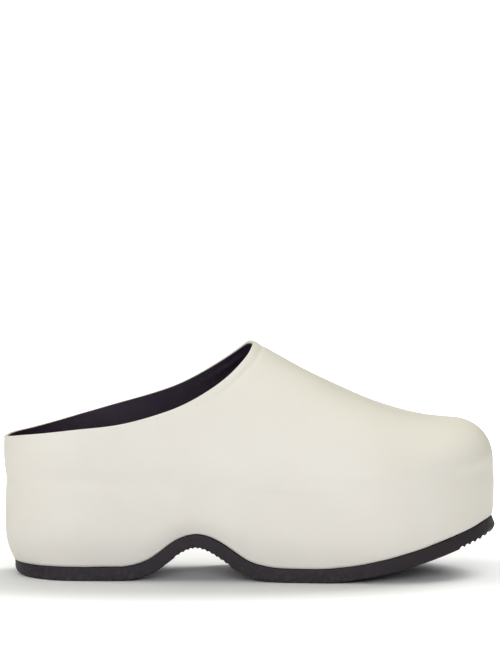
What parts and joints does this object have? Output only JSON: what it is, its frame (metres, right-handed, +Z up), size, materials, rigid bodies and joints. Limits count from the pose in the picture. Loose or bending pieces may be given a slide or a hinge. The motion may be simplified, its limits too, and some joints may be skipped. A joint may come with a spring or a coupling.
{
  "type": "platform mule",
  "caption": "Slip-on platform shoe for the right foot: smooth leather wrapped over a thick platform, low open back, broad closed toe and an arched rubber outsole.",
  "frame": {"origin": "middle of the shoe's box on the floor that it stands on", "axes": "+X to the toe, -Y to the outer (lateral) side, +Z up"},
  "size_m": [0.2638, 0.1046, 0.1258],
  "materials": {
    "leather": "smooth, satin",
    "rubber": "matte",
    "footbed": "satin",
    "block": "matte foam"
  },
  "bodies": {
    "root": {"upper": "leather", "outsole": "rubber", "insole": "footbed", "platform": "block"}
  },
  "joints": []
}
